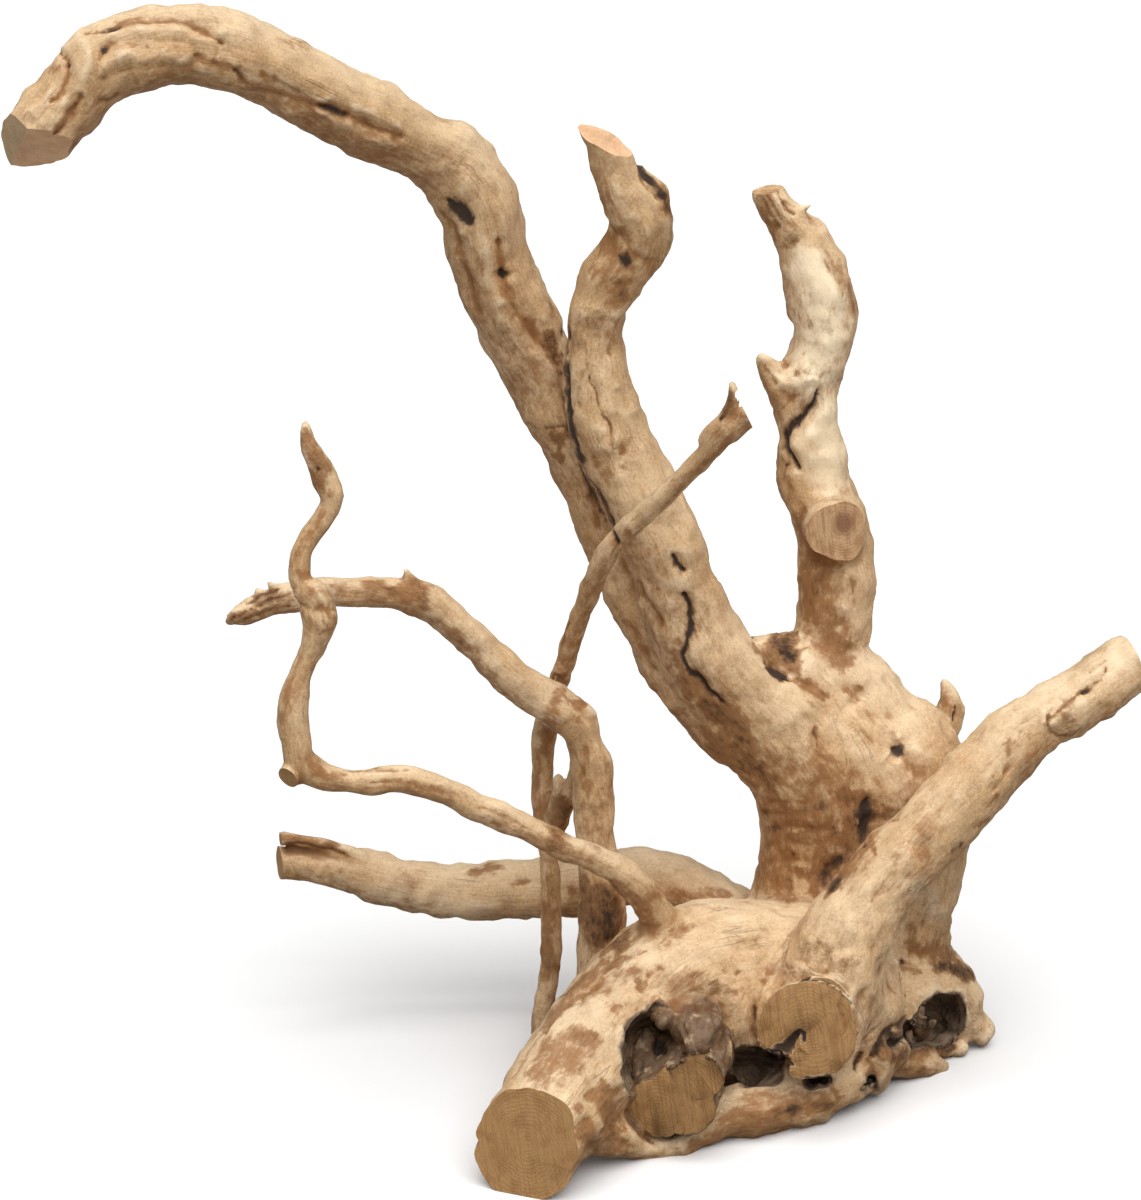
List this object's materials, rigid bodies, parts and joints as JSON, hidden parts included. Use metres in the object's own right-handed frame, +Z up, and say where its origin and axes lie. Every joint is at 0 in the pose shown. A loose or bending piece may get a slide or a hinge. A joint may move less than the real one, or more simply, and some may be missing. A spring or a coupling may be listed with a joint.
{
  "type": "polished driftwood root",
  "caption": "Sandblasted driftwood root with a long arching limb, upright limbs, thin winding roots and sawn ends, standing on its knotted rootstock",
  "frame": {"origin": "middle of the footprint's box, on the surface that the root stands on", "axes": "X to the right as the picture shows it, Y away from the viewer, Z up"},
  "size_m": [0.551, 0.251, 0.5591],
  "materials": {
    "sandblasted_wood": "matte"
  },
  "bodies": {
    "root": {"driftwood": "sandblasted_wood"}
  },
  "joints": []
}
